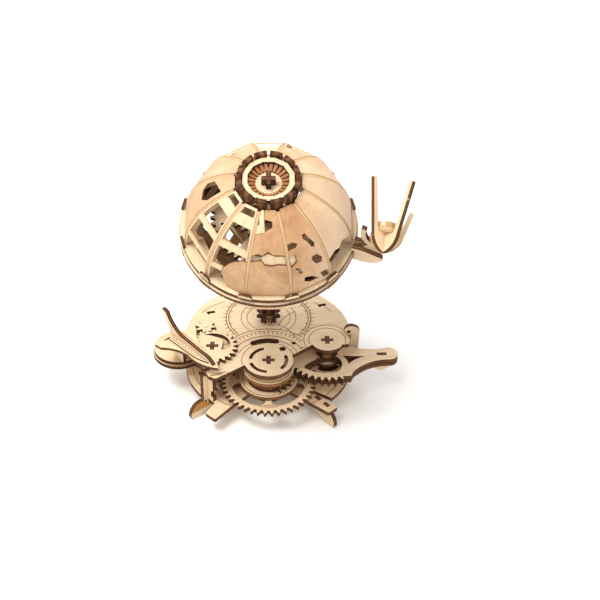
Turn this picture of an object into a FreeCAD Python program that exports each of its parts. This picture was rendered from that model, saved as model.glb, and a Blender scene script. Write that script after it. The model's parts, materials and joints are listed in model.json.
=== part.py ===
import FreeCAD, Part
import math
import os

os.makedirs("parts", exist_ok=True)

# A hand-built plywood orrery.  Millimetres, +Z up.  Everything is laid out about the centre
# of the round base, then moved so that the middle of the bounding box stands on the origin.

# ---- driving dimensions -------------------------------------------------------------------
SHEET = 3.0                 # thickness of the plywood
CARD = 0.8                  # thickness of the bent card gores
GAP = 0.3                   # air between pieces of different bodies
RUNNING = 0.05              # radial clearance of a running fit
SNUG = 0.02                 # clearance of a piece pushed into a slot

BASE_R = 58.0               # dial plate
LOWER_R = 59.5              # lower plate
LOWER_Z = 12.0              # underside of the lower plate
DIAL_Z = 37.0               # underside of the dial plate
DIAL_TOP = DIAL_Z + SHEET

MODULE = 1.5                # tooth size of every gear
DRIVE_TEETH = 42
IDLER_TEETH = 20
LEVER_TEETH = 40
SECTOR_TEETH = 22
LEFT_PINION_TEETH = 12
LEFT_GEAR_TEETH = 22
SMALL_TEETH = 8
GLOBE_TEETH = 30
COLLAR_TEETH = 10

HUB = (0.0, -29.0)          # axle of the big drive gear
BOSS_ANGLE = 27.85          # where the lever's axle lies, seen from the hub
LEFT_ANGLE = 163.8          # where the left axle lies, seen from the hub
SMALL_ANGLE = 104.4         # where the small pinion lies, seen from the left axle

AXLE_W = 8.6                # width of the two crossed strips of an axle
BUSH_R = 6.95               # round bush that turns in a plate
BORE_R = BUSH_R + RUNNING
THROAT_R = math.hypot(AXLE_W / 2, SHEET / 2) + RUNNING

TILT = 23.5                 # lean of the globe's axis
FOOT = (0.0, 18.1, DIAL_TOP)  # where the globe's axis meets the dial plate
CENTRE_UP = 119.8           # globe centre, measured along the axis from the foot
GORE_R = 51.7               # outside of the bent gores, at the middle of each gore
RING_R = 56.0               # lower equator ring
SEAMS = [15.0 + 30.0 * k for k in range(12)]
MIDDLES = [30.0 * k for k in range(12)]
FRONT = -90.0
TOP_LATITUDE = 67.5

DRIVE_Z = 17.5              # underside of the drive gear
PINION_Z = DRIVE_Z + 2 * SHEET + GAP
LEVER_Z = PINION_Z
CAP_Z = LEVER_Z + 2 * SHEET + GAP
TOP_GEAR_Z = DIAL_TOP + GAP


def polar(origin, radius, degrees):
    angle = math.radians(degrees)
    return (origin[0] + radius * math.cos(angle), origin[1] + radius * math.sin(angle))


def gear_distance(teeth_a, teeth_b):
    return MODULE * (teeth_a + teeth_b) / 2


BOSS = polar(HUB, gear_distance(DRIVE_TEETH, IDLER_TEETH), BOSS_ANGLE)
LEFT = polar(HUB, gear_distance(DRIVE_TEETH, LEFT_PINION_TEETH), LEFT_ANGLE)
SMALL = polar(LEFT, gear_distance(LEFT_GEAR_TEETH, SMALL_TEETH), SMALL_ANGLE)


# ---- shape helpers ------------------------------------------------------------------------
def vec(x, y, z=0.0):
    return FreeCAD.Vector(x, y, z)


def join(first, *others):
    for other in others:
        first = first.fuse(other)
    return first.removeSplitter()


def cut(shape, *tools):
    for tool in tools:
        shape = shape.cut(tool)
    return shape


def slab(points, z_low, height):
    """A straight-sided plate from its corner points."""
    corners = [vec(x, y, z_low) for x, y in points]
    face = Part.Face(Part.makePolygon(corners + corners[:1]))
    return face.extrude(vec(0, 0, height))


def outline(start, steps):
    """A closed wire: each step is an end point, or a (middle, end) pair for an arc."""
    edges = []
    here = vec(*start)
    for step in steps:
        if isinstance(step[0], tuple):
            there = vec(*step[1])
            edges.append(Part.Arc(here, vec(*step[0]), there).toShape())
        else:
            there = vec(*step)
            edges.append(Part.LineSegment(here, there).toShape())
        here = there
    if (here - vec(*start)).Length > 1e-6:
        edges.append(Part.LineSegment(here, vec(*start)).toShape())
    return Part.Wire(edges)


def curved_slab(start, steps, z_low, height):
    shape = Part.Face(outline(start, steps)).extrude(vec(0, 0, height))
    shape.translate(vec(0, 0, z_low))
    return shape


def disc(centre, radius, z_low, height):
    return Part.makeCylinder(radius, height, vec(centre[0], centre[1], z_low))


def ring(centre, outer, inner, z_low, height):
    return disc(centre, outer, z_low, height).cut(disc(centre, inner, z_low, height))


def box(x0, y0, z0, x1, y1, z1):
    return Part.makeBox(x1 - x0, y1 - y0, z1 - z0, vec(x0, y0, z0))


def window(centre, inner, outer, start, end, z_low, height):
    """An opening between two spokes of a wheel."""
    middle = (start + end) / 2
    return curved_slab(polar(centre, outer, start),
                       [(polar(centre, outer, middle), polar(centre, outer, end)),
                        polar(centre, inner, end),
                        (polar(centre, inner, middle), polar(centre, inner, start))],
                       z_low, height)


def bar(centre, length, width, degrees, z_low, height):
    """A rectangular block about a centre, turned in plan."""
    shape = box(-length / 2, -width / 2, z_low, length / 2, width / 2, z_low + height)
    shape.rotate(vec(0, 0, 0), vec(0, 0, 1), degrees)
    shape.translate(vec(centre[0], centre[1], 0))
    return shape


def arc_slot(centre, radius, width, start, end, z_low, height):
    """A bean-shaped slot with round ends."""
    inner, outer = radius - width / 2, radius + width / 2
    middle = (start + end) / 2
    steps = [(polar(centre, outer, middle), polar(centre, outer, end)),
             (polar(polar(centre, radius, end), width / 2, end + 90), polar(centre, inner, end)),
             (polar(centre, inner, middle), polar(centre, inner, start)),
             (polar(polar(centre, radius, start), width / 2, start - 90),
              polar(centre, outer, start))]
    return curved_slab(polar(centre, outer, start), steps, z_low, height)


def round_corners(shape, radius, places):
    """Round the upright edges that stand at the given plan places."""
    chosen = []
    for edge in shape.Edges:
        low, high = edge.Vertexes[0].Point, edge.Vertexes[-1].Point
        upright = math.hypot(low.x - high.x, low.y - high.y) < 1e-6 and abs(low.z - high.z) > 1.0
        if upright and any(math.hypot(low.x - x, low.y - y) < 0.05 for x, y in places):
            chosen.append(edge)
    return shape.makeFillet(radius, chosen) if chosen else shape


def stand_up(shape, degrees, centre=(0.0, 0.0), z=0.0):
    """Turn a plate drawn in (outward, up) into an upright radial plate."""
    shape.translate(vec(0, 0, -SHEET / 2))
    shape.rotate(vec(0, 0, 0), vec(1, 0, 0), 90)
    shape.rotate(vec(0, 0, 0), vec(0, 0, 1), degrees)
    shape.translate(vec(centre[0], centre[1], z))
    return shape


def gear(centre, teeth, phase, z_low, height, relief=0.0):
    """A laser-cut gear with pointed teeth; one tooth is centred on the phase angle."""
    pitch_r = MODULE * teeth / 2
    profile = [(pitch_r - 1.75 - relief, 1.45), (pitch_r, 0.92 - relief),
               (pitch_r + 1.35 - relief, 0.28)]
    points = []
    for k in range(teeth):
        middle = phase + 360.0 * k / teeth
        for radius, half in profile:
            points.append(polar(centre, radius, middle - math.degrees(half / radius)))
        for radius, half in reversed(profile):
            points.append(polar(centre, radius, middle + math.degrees(half / radius)))
    return slab(points, z_low, height)


def mesh_phase(phase, teeth, other_teeth, direction):
    """Phase of the other gear, so that its teeth meet this gear's gaps in that direction."""
    pitches = (direction - phase) * teeth / 360.0
    return direction + 180.0 - (0.5 - pitches) * 360.0 / other_teeth


def cross(centre, z_low, height, spare=0.0):
    """The hole that a crossed axle fills."""
    wide, thin = AXLE_W / 2 + spare, SHEET / 2 + spare
    x, y = centre
    return join(box(x - wide, y - thin, z_low, x + wide, y + thin, z_low + height),
                box(x - thin, y - wide, z_low, x + thin, y + wide, z_low + height))


def crossed_axle(centre, z_low, z_high):
    """Two strips slid into each other, each slotted to the middle."""
    x, y = centre
    wide, thin, middle = AXLE_W / 2, SHEET / 2, (z_low + z_high) / 2
    first = box(x - wide, y - thin, z_low, x + wide, y + thin, z_high)
    second = box(x - thin, y - wide, z_low, x + thin, y + wide, z_high)
    core = thin + SNUG
    lower_core = box(x - core, y - core, z_low, x + core, y + core, middle + SNUG)
    upper_core = box(x - core, y - core, middle - SNUG, x + core, y + core, z_high)
    return Part.makeCompound([first.cut(lower_core), second.cut(upper_core)])


# ---- base ---------------------------------------------------------------------------------
# Legs: direction seen from above, and how far out their two tenons stand.
LEGS = {"leg_front_right": (-49.6, (52.6, 61.4)), "leg_front_left": (-140.0, (42.0, 49.5)),
        "leg_back_left": (131.0, (47.0, 54.5)), "leg_back_right": (49.0, (47.0, 54.5))}
TENON_LONG = 5.0
TENON_THICK = SHEET - 2 * SNUG
AXLE_PLACES = (HUB, BOSS, LEFT)


def leg(degrees, places):
    """An upright radial plate: a curved outer edge, a slanting lower edge, two tenons."""
    body = curved_slab((38.0, LOWER_Z), [(38.0, 9.0), (64.5, 0.0), (69.0, 0.0),
                                         ((70.6, 1.4), (70.9, 3.5)),
                                         ((69.0, 8.6), (64.5, LOWER_Z))], 0, SHEET)
    for place in places:
        tenon = box(place - TENON_LONG / 2 + SNUG, LOWER_Z, SNUG,
                    place + TENON_LONG / 2 - SNUG, LOWER_Z + SHEET, SHEET - SNUG)
        body = body.fuse(tenon)
    return stand_up(body.removeSplitter(), degrees)


def leg_mortises():
    tools = []
    for degrees, places in LEGS.values():
        for place in places:
            tools.append(bar(polar((0, 0), place, degrees), TENON_LONG, SHEET, degrees,
                             LOWER_Z - 1, SHEET + 2))
    return tools


def lower_plate():
    """A round plate, cut away at the front between two arms that cross behind the hub."""
    plate = disc((0, 0), LOWER_R, LOWER_Z, SHEET)
    front = slab([(-46.5, -39.0), (-24.0, -28.0), (24.0, -28.0), (42.9, -39.8), (60, -70),
                  (-60, -70)], LOWER_Z, SHEET)
    plate = plate.cut(front)
    right_arm = slab([(-3.0, -19.0), (3.0, -11.0), (47.7, -49.1), (41.0, -55.0)], LOWER_Z, SHEET)
    left_arm = slab([(3.0, -19.0), (-8.0, -14.0), (-43.1, -38.9), (-36.9, -45.5),
                     (-43.1, -55.0), (-36.2, -61.5), (-24.0, -46.8)], LOWER_Z, SHEET)
    plate = join(plate, right_arm, left_arm, disc(HUB, 12.0, LOWER_Z, SHEET))
    corners = [(47.7, -49.1), (41.0, -55.0), (-43.1, -55.0), (-36.2, -61.5), (-36.9, -45.5)]
    plate = round_corners(plate, 1.2, corners)
    for place in AXLE_PLACES:
        plate = plate.cut(disc(place, BORE_R, LOWER_Z - 1, SHEET + 2))
    for start in (18.0, 72.0, 126.0):
        plate = plate.cut(arc_slot((0, 0), 38.0, 9.0, start, start + 36.0, LOWER_Z - 1, SHEET + 2))
    return cut(plate, *leg_mortises(), *post_mortises(LOWER_Z))


def dial_plate():
    """The top plate: a disc cut away at the front, with a hub circle and a lever boss."""
    kept = slab([(-70, 70), (-70, -30), (-43.5, -40.0), (-40.6, -45.4), (-36.0, -48.6),
                 (-24.8, -40.7), (-15.3, -33.6), (0, -29), (17.7, -22.9), (31.2, -12.1),
                 (41, -7), (58, -2), (70, -2), (70, 70)], DIAL_Z, SHEET)
    plate = disc((0, 0), BASE_R, DIAL_Z, SHEET)
    tab = slab([(-50, -20), (-43.5, -40.0), (-40.6, -45.4), (-36.0, -48.6), (-24.8, -40.7),
                (-10, -20)], DIAL_Z, SHEET)
    tab = round_corners(tab, 2.5, [(-40.6, -45.4), (-36.0, -48.6)])
    right_tab = slab([(45, -13), (56.2, -12), (57.0, -3.8), (50, 2)], DIAL_Z, SHEET)
    right_tab = round_corners(right_tab, 1.8, [(56.2, -12.0)])
    plate = join(plate.common(kept), tab, disc(HUB, 17.0, DIAL_Z, SHEET), right_tab,
                 disc(BOSS, 11.8, DIAL_Z, SHEET))
    low, tall = DIAL_Z - 1, SHEET + 2
    for place in AXLE_PLACES:
        radius = BORE_R if place != LEFT else THROAT_R
        plate = plate.cut(disc(place, radius, low, tall))
    plate = plate.cut(disc(SMALL, 2.0, low, tall))
    for start in (110.0, 200.0, 318.0):
        plate = plate.cut(arc_slot(HUB, 12.4, 2.5, start, start + 60.0, low, tall))
    plate = plate.cut(arc_slot(HUB, 20.6, 5.2, 76.0, 120.0, low, tall))
    plate = cut(plate, disc((17.6, -11.0), 1.6, low, tall), disc((9.8, -17.2), 2.3, low, tall))
    for x, y in ((39.0, 32.6), (-41.6, 24.0)):
        plate = plate.cut(bar((x, y), 6.0, 2.6, 12.0, low, tall))
        plate = plate.cut(bar((x - 1.6, y - 1.4), 1.2, 2.4, 12.0, low, tall))
    gear_slot = box(-17.5, 39.4, low, 17.5, 47.2, low + tall)
    throat = globe_frame(disc((0, 0), THROAT_R + 1.4, -12, 24))
    return cut(plate, gear_slot, throat, *post_mortises(DIAL_Z), *bearing_mortises(DIAL_Z))


# Upright plates that hold the dial plate above the lower plate: place, turn, half width.
POSTS = {"post_front_left": ((-41.5, -38.5), 45.0, 5.5),
         "post_hook_right": ((60.0, 2.0), 0.0, 4.3),
         "post_back_left": ((-23.9, 45.0), 28.0, 7.0),
         "post_back_right": ((23.9, 45.0), -28.0, 7.0)}
POST_TENON = 6.0
HOOK_TENON = (-4.0, -0.8)   # along the hooked post, from its middle


def post_mortises(z_low):
    tools = []
    for name, (place, turn, _) in POSTS.items():
        if name == "post_hook_right":
            start, end = HOOK_TENON
            if z_low == DIAL_Z:
                start, end = -4.3 - SNUG, 6.0
            tools.append(box(place[0] + start, place[1] - SHEET / 2 - SNUG, z_low - 1,
                             place[0] + end, place[1] + SHEET / 2 + SNUG, z_low + SHEET + 1))
        else:
            tools.append(bar(place, POST_TENON, SHEET, turn, z_low - 1, SHEET + 2))
    return tools


def post(name):
    """An upright plate between the two plates, with a tenon at each end."""
    place, turn, half = POSTS[name]
    tenon = POST_TENON / 2 - SNUG
    low, high = LOWER_Z + SHEET, DIAL_Z
    foot = (-tenon, tenon)
    if name == "post_hook_right":
        steps = [(half - 0.6, low), (half, 39.6), ((half - 1.6, 44.2), (0.5, 45.4)),
                 ((-5.4, 44.4), (-6.6, 41.4)), (-4.4, 41.0), ((-3.2, 42.2), (-2.4, 40.2)),
                 (-2.4, high), (-half, high)]
        body = curved_slab((-half, low), steps, 0, SHEET)
        foot = (HOOK_TENON[0] + SNUG, HOOK_TENON[1] - SNUG)
    else:
        body = box(-half, low, 0, half, high, SHEET)
        body = body.fuse(box(-tenon, high, SNUG, tenon, DIAL_TOP, SHEET - SNUG))
    body = body.fuse(box(foot[0], LOWER_Z, SNUG, foot[1], low, SHEET - SNUG))
    return stand_up(body.removeSplitter(), turn, place)


def cross_post():
    """The short plate that crosses the front left post."""
    place, turn, _ = POSTS["post_front_left"]
    side = 6.4
    body = box(SHEET / 2 + SNUG, LOWER_Z + SHEET, 0, side, DIAL_Z, SHEET)
    notch = box(side - 2.0, LOWER_Z + SHEET + 4.0, -1, side + 1, LOWER_Z + SHEET + 9.0, SHEET + 1)
    return stand_up(body.cut(notch), turn - 90.0, place)


# ---- tilted frame and its bearings ----------------------------------------------------------
def globe_frame(shape):
    """Move a shape drawn about an upright axis onto the leaning axis of the globe."""
    shape.rotate(vec(0, 0, 0), vec(1, 0, 0), TILT)
    shape.translate(vec(*FOOT))
    return shape


LEAN = math.cos(math.radians(TILT))
UPPER_BEARING = (32.6 - DIAL_TOP) / LEAN
LOWER_BEARING = (20.2 - DIAL_TOP) / LEAN
GLOBE_GEAR_UP = (27.97 - DIAL_TOP) / LEAN
CHEEK_X = 9.0
BEARING_W = 2 * CHEEK_X - 2 * SNUG
BEARING_L = 12.6


def bearing_plate(along):
    plate = box(-BEARING_W / 2, -BEARING_L / 2, along - SHEET / 2,
                BEARING_W / 2, BEARING_L / 2, along + SHEET / 2)
    return globe_frame(plate.cut(disc((0, 0), THROAT_R, along - 5, 10)))


def cheek_pair(profile, tenon):
    """Two upright plates beside the leaning axle, drawn in (y, z)."""
    plates = []
    for x in (-CHEEK_X - SHEET, CHEEK_X):
        corners = [vec(x, y, z) for y, z in profile]
        face = Part.Face(Part.makePolygon(corners + corners[:1]))
        y0, z0, y1, z1 = tenon
        peg = box(x + SNUG, y0 + SNUG, z0, x + SHEET - SNUG, y1 - SNUG, z1)
        plates.append(face.extrude(vec(SHEET, 0, 0)).fuse(peg).removeSplitter())
    return Part.makeCompound(plates)


UPPER_TENON = (17.0, 24.0)
LOWER_TENON = (23.0, 30.0)


def upper_cheeks():
    profile = [(13.5, DIAL_Z), (13.5, 29.0), (20.5, 29.4), (29.0, 33.1), (29.0, DIAL_Z)]
    return cheek_pair(profile, (UPPER_TENON[0], DIAL_Z, UPPER_TENON[1], DIAL_TOP - 1.0))


def lower_cheeks():
    top = LOWER_Z + SHEET
    profile = [(19.0, top), (19.0, 21.5), (23.0, 23.2), (32.0, 25.6), (35.0, 22.0), (35.0, top)]
    return cheek_pair(profile, (LOWER_TENON[0], LOWER_Z, LOWER_TENON[1], top))


def bearing_mortises(z_low):
    blind = z_low == DIAL_Z
    y0, y1 = UPPER_TENON if blind else LOWER_TENON
    top = DIAL_TOP - 1.0 + SNUG if blind else z_low + SHEET + 1
    return [box(x, y0, z_low - 1, x + SHEET, y1, top) for x in (-CHEEK_X - SHEET, CHEEK_X)]


# ---- gear train -----------------------------------------------------------------------------
DRIVE_PHASE = 90.0 + 180.0 / DRIVE_TEETH
IDLER_PHASE = mesh_phase(DRIVE_PHASE, DRIVE_TEETH, IDLER_TEETH, BOSS_ANGLE)
LEFT_PHASE = mesh_phase(DRIVE_PHASE, DRIVE_TEETH, LEFT_PINION_TEETH, LEFT_ANGLE)
GLOBE_PHASE = FRONT
SECTOR_PHASE = BOSS_ANGLE + 180.0 / SECTOR_TEETH
LEVER_PHASE = mesh_phase(SECTOR_PHASE, SECTOR_TEETH, LEVER_TEETH, BOSS_ANGLE)
LEFT_GEAR_PHASE = SMALL_ANGLE
SMALL_PHASE = mesh_phase(LEFT_GEAR_PHASE, LEFT_GEAR_TEETH, SMALL_TEETH, SMALL_ANGLE)


def drive_gear():
    blank = gear(HUB, DRIVE_TEETH, DRIVE_PHASE, DRIVE_Z, SHEET)
    for start in (-84.0, 6.0, 96.0, 186.0):
        blank = blank.cut(arc_slot(HUB, 21.6, 9.0, start + 12.0, start + 66.0,
                                   DRIVE_Z - 1, SHEET + 2))
    return blank.cut(cross(HUB, DRIVE_Z - 1, SHEET + 2, SNUG))


def hub_disc(radius, z_low, height=SHEET):
    return disc(HUB, radius, z_low, height).cut(cross(HUB, z_low - 1, height + 2, SNUG))


def sector_pinion():
    """Two layers of a pinion that has teeth only where the lever can reach."""
    layers = []
    blank_r = MODULE * SECTOR_TEETH / 2 - 1.75
    for level in range(2):
        low = PINION_Z + level * SHEET
        toothed = gear(HUB, SECTOR_TEETH, SECTOR_PHASE, low, SHEET)
        reach = [HUB] + [polar(HUB, 40.0, angle) for angle in (62, 30, -5, -40, -75)]
        toothed = toothed.common(slab(reach, low, SHEET)).fuse(disc(HUB, blank_r, low, SHEET))
        layers.append(toothed.removeSplitter().cut(cross(HUB, low - 1, SHEET + 2, SNUG)))
    return Part.makeCompound(layers)


def hub_spacers():
    top = CAP_Z + SHEET
    levels = [(8.8, LOWER_Z + SHEET + GAP, DRIVE_Z), (10.0, PINION_Z - GAP, PINION_Z),
              (10.0, CAP_Z - GAP, CAP_Z), (8.8, top, DIAL_Z - GAP)]
    return Part.makeCompound([hub_disc(r, low, high - low) for r, low, high in levels])


def bush(centre, z_low, top_up=0.0):
    body = disc(centre, BUSH_R, z_low, SHEET + top_up)
    return body.cut(cross(centre, z_low - 1, SHEET + 3, SNUG))


def lever_layer(z_low, toe):
    """One layer of the lever: toothed sector, waist and handle."""
    toothed = gear(BOSS, LEVER_TEETH, LEVER_PHASE, z_low, SHEET)
    hub_side = BOSS_ANGLE + 180.0
    fan = [BOSS] + [polar(BOSS, 60.0, a) for a in (hub_side - 13, hub_side + 25, 270, 290 + toe)]
    sector = toothed.common(slab(fan, z_low, SHEET))
    bx, by = BOSS
    body = curved_slab((bx - 25.5, by - 11.5),
                       [((bx - 12.0, by + 3.0), (bx + 1.0, by + 9.5)),
                        ((bx + 8.0, by + 8.4), (bx + 16.0, by + 5.0)),
                        ((bx + 28.0, by + 2.2), (bx + 42.0, by + 3.6)),
                        ((bx + 50.0, by - 2.6), (bx + 42.6, by - 9.2)),
                        ((bx + 30.0, by - 12.2), (bx + 20.5, by - 19.0)),
                        ((bx + 17.2, by - 23.0), (bx + 16.0, by - 26.5)), (bx + 9.0, by - 27.0),
                        ((bx - 10.0, by - 26.0), (bx - 25.5, by - 11.5))], z_low, SHEET)
    blade = join(sector, body)
    low, tall = z_low - 1, SHEET + 2
    bean = curved_slab((bx - 15.5, by - 15.5),
                       [((bx - 12.6, by - 12.6), (bx - 9.4, by - 10.4)),
                        ((bx - 6.6, by - 7.6), (bx - 2.5, by - 5.6)),
                        ((bx + 8.6, by - 8.4), (bx + 9.6, by - 16.4)),
                        ((bx + 8.2, by - 20.6), (bx + 3.6, by - 22.6)),
                        ((bx - 7.4, by - 22.8), (bx - 14.2, by - 19.6)),
                        ((bx - 16.2, by - 17.8), (bx - 15.5, by - 15.5))], low, tall)
    triangle = curved_slab((bx + 10.6, by - 5.2),
                           [((bx + 19.0, by - 5.6), (bx + 27.5, by - 5.8)),
                            ((bx + 19.4, by - 9.4), (bx + 14.4, by - 14.8)),
                            ((bx + 13.6, by - 9.6), (bx + 10.6, by - 5.2))], low, tall)
    mortise = box(bx + 35.0, by - 4.6, low, bx + 42.0, by - 1.6, low + tall)
    return cut(blade, bean, triangle, mortise, cross(BOSS, low, tall, SNUG))


def lever_peg():
    """The finger plate under the end of the handle, held by its tenon."""
    bx, by = BOSS
    tenon = box(bx + 35.0 + SNUG, LEVER_Z, SNUG, bx + 42.0 - SNUG, LEVER_Z + 2 * SHEET,
                SHEET - SNUG)
    body = curved_slab((bx + 32.5, LEVER_Z), [(bx + 32.5, 21.0), ((bx + 38.5, 16.0), (bx + 44.5, 21.0)),
                                              (bx + 44.5, LEVER_Z)], 0, SHEET)
    plate = body.fuse(tenon).removeSplitter()
    plate.rotate(vec(0, 0, 0), vec(1, 0, 0), 90)
    plate.translate(vec(0, by - 1.6, 0))
    return plate


def boss_spacers():
    """Rings on the lever's axle, above and below the idler and the lever."""
    top = LEVER_Z + 2 * SHEET
    spans = [(DRIVE_Z + SHEET + GAP, LEVER_Z), (top, DIAL_Z - GAP)]
    rings = []
    for low, high in spans:
        body = disc(BOSS, 8.2, low, high - low)
        rings.append(body.cut(cross(BOSS, low - 1, high - low + 2, SNUG)))
    return Part.makeCompound(rings)


def idler_gear():
    blank = gear(BOSS, IDLER_TEETH, IDLER_PHASE, DRIVE_Z, SHEET)
    blank = blank.cut(disc(BOSS, THROAT_R, DRIVE_Z - 1, SHEET + 2))
    for start in (0, 120, 240):
        blank = blank.cut(arc_slot(BOSS, 9.4, 3.4, start, start + 78, DRIVE_Z - 1, SHEET + 2))
    return blank


def idler_seat():
    """A ring on the lower plate that carries the idler."""
    return ring(BOSS, 9.6, BORE_R + 0.4, LOWER_Z + SHEET, DRIVE_Z - GAP - LOWER_Z - SHEET)


def left_gear():
    blank = gear(LEFT, LEFT_GEAR_TEETH, LEFT_GEAR_PHASE, TOP_GEAR_Z, SHEET)
    low, tall = TOP_GEAR_Z - 1, SHEET + 2
    crescent = curved_slab(polar(LEFT, 13.2, 118),
                           [(polar(LEFT, 13.4, 60), polar(LEFT, 12.4, -4)),
                            (polar(LEFT, 10.4, -22), polar(LEFT, 7.4, -32)),
                            (polar(LEFT, 7.0, 10), polar(LEFT, 9.4, 42)),
                            (polar(LEFT, 10.0, 80), polar(LEFT, 13.2, 118))], low, tall)
    small = arc_slot(LEFT, 11.2, 3.6, 165, 190, low, tall)
    lower = arc_slot(LEFT, 11.6, 3.0, 208, 246, low, tall)
    return cut(blank, crescent, small, lower, cross(LEFT, low, tall, SNUG))


def left_pinion():
    blank = gear(LEFT, LEFT_PINION_TEETH, LEFT_PHASE, DRIVE_Z, SHEET)
    return blank.cut(cross(LEFT, DRIVE_Z - 1, SHEET + 2, SNUG))


def left_spacer():
    low, high = DRIVE_Z + SHEET, PADDLE_Z - GAP
    return disc(LEFT, 7.0, low, high - low).cut(cross(LEFT, low - 1, high - low + 2, SNUG))


def small_pinion():
    blank = gear(SMALL, SMALL_TEETH, SMALL_PHASE, TOP_GEAR_Z, SHEET)
    hole = bar(SMALL, 3.0, 3.0, 45.0, TOP_GEAR_Z - 1, SHEET + 2)
    return blank.cut(hole)


def small_pin():
    """A square peg on a round spindle that turns in the dial plate."""
    spindle = disc(SMALL, 2.0 - RUNNING, DIAL_Z - 2.0, TOP_GEAR_Z - DIAL_Z + 2.0)
    peg = bar(SMALL, 3.0 - 2 * SNUG, 3.0 - 2 * SNUG, 45.0, TOP_GEAR_Z, SHEET + 0.3)
    collar = disc(SMALL, 3.4, DIAL_Z - 3.5, 3.2)
    return join(spindle, peg, collar)


# ---- shuttle and its arm ----------------------------------------------------------------------
PADDLE = (-63.5, -2.0)
PADDLE_R = 18.5
PADDLE_Z = 24.0
SHUTTLE_HEADING = -48.6
SHUTTLE_AT = (-61.5, -15.5)
SHUTTLE_Z = 46.0
SHUTTLE_AHEAD = 6.0         # the shuttle's middle stands this far in front of its post


def paddle_layer(z_low, inset):
    reach = math.degrees(math.atan2(PADDLE[1] - LEFT[1], PADDLE[0] - LEFT[0]))
    middle = ((PADDLE[0] + LEFT[0]) / 2, (PADDLE[1] + LEFT[1]) / 2)
    span = math.hypot(PADDLE[0] - LEFT[0], PADDLE[1] - LEFT[1])
    body = join(disc(PADDLE, PADDLE_R - inset, z_low, SHEET), disc(LEFT, 9.0, z_low, SHEET),
                bar(middle, span, 13.0 - 2 * inset, reach, z_low, SHEET))
    body = body.cut(disc(LEFT, THROAT_R, z_low - 1, SHEET + 2))
    body = body.cut(arc_slot(PADDLE, 11.0, 3.0, 60, 150, z_low - 1, SHEET + 2))
    return body.cut(post_slot(z_low - 1, SHEET + 2))


def post_slot(z_low, height, spare=0.0):
    return bar(SHUTTLE_AT, 7.0 + 2 * spare, SHEET + 2 * spare, SHUTTLE_HEADING, z_low, height)


def shuttle_post():
    """An upright strip on the paddle; the shuttle's saddle slips over its top."""
    low = PADDLE_Z
    stem = bar(SHUTTLE_AT, 7.0 - 2 * SNUG, SHEET - 2 * SNUG, SHUTTLE_HEADING, low, 2 * SHEET)
    top = bar(SHUTTLE_AT, 10.0, SHEET - 2 * SNUG, SHUTTLE_HEADING, low + 2 * SHEET,
              SHUTTLE_Z - GAP - low - 2 * SHEET)
    return join(stem, top)


def shuttle_frame(shape):
    shape.translate(vec(SHUTTLE_AHEAD, 0, 0))
    shape.rotate(vec(0, 0, 0), vec(0, 0, 1), SHUTTLE_HEADING)
    shape.translate(vec(SHUTTLE_AT[0], SHUTTLE_AT[1], SHUTTLE_Z))
    return shape


def shuttle_wing():
    plate = curved_slab((-12.0, 16.5), [(-6.5, 15.5), ((3.0, 8.6), (12.0, 6.4)),
                                        ((28.0, 4.6), (36.0, 0.0)), ((28.0, -4.6), (12.0, -6.4)),
                                        ((3.0, -8.6), (-6.5, -15.5)), (-12.0, -16.5),
                                        (-10.0, -5.0), (-12.5, -4.0), (-12.5, 4.0), (-10.0, 5.0)],
                        0, 2.0)
    slot = box(-13.0, -SHEET / 2, -1, 30.0, SHEET / 2, 4)
    return shuttle_frame(plate.cut(slot))


def shuttle_fuselage():
    """The upright spine: a nose, a straight back and a swept tail fin."""
    body = curved_slab((33.5, 0.2), [((28.0, 4.6), (20.0, 5.4)), (-3.0, 6.2),
                                     ((-10.0, 9.4), (-18.0, 18.5)), (-22.5, 19.5), (-14.5, 5.5),
                                     (-14.5, -1.2), ((-4.0, -1.9), (8.0, -1.9)),
                                     ((26.0, -1.6), (33.5, 0.2))], 0, SHEET - 2 * SNUG)
    body.rotate(vec(0, 0, 0), vec(1, 0, 0), 90)
    body.translate(vec(0, SHEET / 2 - SNUG, 0))
    saddle = box(-6.0 - SHUTTLE_AHEAD, -2.5, -4.5, 6.0 - SHUTTLE_AHEAD, 2.5, 0.0)
    return shuttle_frame(body.cut(saddle).cut(box(29.9, -3, -1, 36, 3, 2.02)))


def shuttle_deck():
    """The two narrow engraved strips beside the spine."""
    strips = []
    for side in (1, -1):
        strip = curved_slab((-9.0, side * 1.8), [(-9.0, side * 6.2), (10.0, side * 5.6),
                                                 ((20.0, side * 4.6), (28.0, side * 1.8))], 2.0, 1.2)
        strips.append(strip)
    return shuttle_frame(Part.makeCompound(strips))


# ---- globe ------------------------------------------------------------------------------------
def globe_place(shape):
    """Put a shape drawn about the globe's own centre into the object."""
    shape.translate(vec(0, 0, CENTRE_UP))
    return globe_frame(shape)


def lift(shape, z):
    shape.translate(vec(0, 0, z))
    return shape


def spin(shape, degrees):
    shape.rotate(vec(0, 0, 0), vec(0, 0, 1), degrees)
    return shape


def meridian_band(outer, inner, low, high, scale_out):
    """A curved strip in the (outward, up) plane between two latitudes, as a face."""
    edges = []
    ends = []
    for radius in (outer, inner):
        curve = Part.Ellipse(vec(0, 0, 0), radius * scale_out, radius)
        arc = Part.ArcOfEllipse(curve, math.radians(low), math.radians(high))
        edges.append(arc.toShape())
        ends.append((arc.value(math.radians(low)), arc.value(math.radians(high))))
    edges.append(Part.LineSegment(ends[0][0], ends[1][0]).toShape())
    edges.append(Part.LineSegment(ends[0][1], ends[1][1]).toShape())
    return Part.Face(Part.Wire(Part.__sortEdges__(edges)))


def wedge(margin, z_low, z_high):
    """The space of one gore, kept a margin inside both seam planes."""
    apex = margin / math.sin(math.radians(15.0))
    far = 75.0
    side = (far - apex) * math.tan(math.radians(15.0))
    return slab([(apex, 0), (far, -side), (far, side)], z_low, z_high - z_low)


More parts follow.
